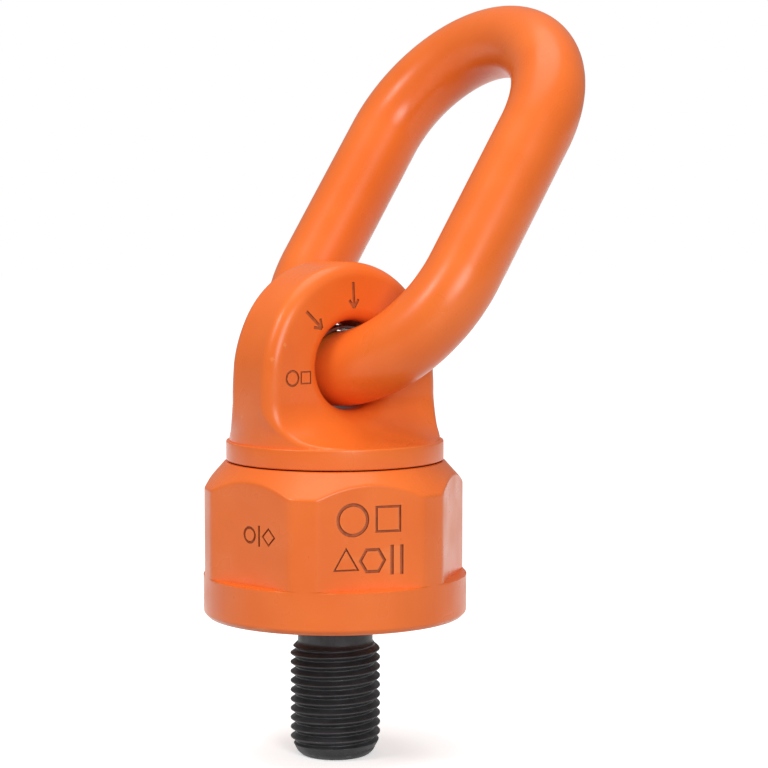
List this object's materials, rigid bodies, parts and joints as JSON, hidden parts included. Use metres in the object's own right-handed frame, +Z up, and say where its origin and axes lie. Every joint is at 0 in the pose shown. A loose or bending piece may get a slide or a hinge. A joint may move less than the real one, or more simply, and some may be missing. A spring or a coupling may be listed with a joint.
{
  "type": "swivel hoist ring",
  "caption": "Ball-bearing swivel lifting ring: oblong round-bar link through a forged eye head that turns on a hexagon-flatted housing with a threaded stud.",
  "frame": {"origin": "centre of the housing's seat face, on the stud's axis", "axes": "+Z up the swivel axis away from the load, Y along the axis of the eye hole, and the link leans from +Z towards +X at rest"},
  "size_m": [0.104, 0.0832, 0.2011],
  "materials": {
    "orange_powder_coat": "glossy orange powder coat on forged steel",
    "black_oxide_steel": "black oxide, satin",
    "bearing_steel": "ground and polished",
    "spring_steel": "tempered, satin",
    "brass": "machined",
    "black_rubber": "moulded, matt"
  },
  "bodies": {
    "base": {"bearing_housing": "orange_powder_coat", "threaded_stud": "black_oxide_steel", "stud_dowel_1": "bearing_steel", "stud_dowel_2": "bearing_steel", "filler_plug": "black_oxide_steel", "plug_lock_pin": "bearing_steel", "dust_seal": "black_rubber"},
    "head": {"eye_head": "orange_powder_coat", "clamp_spring": "spring_steel"},
    "link": {"lifting_link": "orange_powder_coat"},
    "upper_ball_row": {"upper_ball_cage": "brass", "upper_ball_01": "bearing_steel", "upper_ball_02": "bearing_steel", "upper_ball_03": "bearing_steel", "upper_ball_04": "bearing_steel", "upper_ball_05": "bearing_steel", "upper_ball_06": "bearing_steel", "upper_ball_07": "bearing_steel", "upper_ball_08": "bearing_steel", "upper_ball_09": "bearing_steel", "upper_ball_10": "bearing_steel", "upper_ball_11": "bearing_steel", "upper_ball_12": "bearing_steel", "upper_ball_13": "bearing_steel", "upper_ball_14": "bearing_steel", "upper_ball_15": "bearing_steel", "upper_ball_16": "bearing_steel", "upper_ball_17": "bearing_steel", "upper_ball_18": "bearing_steel"},
    "locking_ball_row": {"locking_ball_01": "bearing_steel", "locking_ball_02": "bearing_steel", "locking_ball_03": "bearing_steel", "locking_ball_04": "bearing_steel", "locking_ball_05": "bearing_steel", "locking_ball_06": "bearing_steel", "locking_ball_07": "bearing_steel", "locking_ball_08": "bearing_steel", "locking_ball_09": "bearing_steel", "locking_ball_10": "bearing_steel", "locking_ball_11": "bearing_steel", "locking_ball_12": "bearing_steel", "locking_ball_13": "bearing_steel"}
  },
  "joints": [
    {"name": "head_swivel", "type": "hinge", "parent": "base", "child": "head", "pos_m": [0, 0, 0.0396], "axis": [0, 0, 1], "continuous": true},
    {"name": "link_swing", "type": "hinge", "parent": "head", "child": "link", "pos_m": [0.0001, -0.0003, 0.0654], "axis": [0, 1, 0], "range_deg": [-151.9, 84.1]},
    {"name": "upper_row_orbit", "type": "hinge", "parent": "base", "child": "upper_ball_row", "pos_m": [0, 0, 0.0396], "axis": [0, 0, 1], "continuous": true},
    {"name": "locking_row_orbit", "type": "hinge", "parent": "base", "child": "locking_ball_row", "pos_m": [0, 0, 0.024], "axis": [0, 0, 1], "continuous": true}
  ],
  "couplings": [
    {"joint": "upper_row_orbit", "follows": "head_swivel", "ratio": 0.5},
    {"joint": "locking_row_orbit", "follows": "head_swivel", "ratio": 0.418}
  ]
}
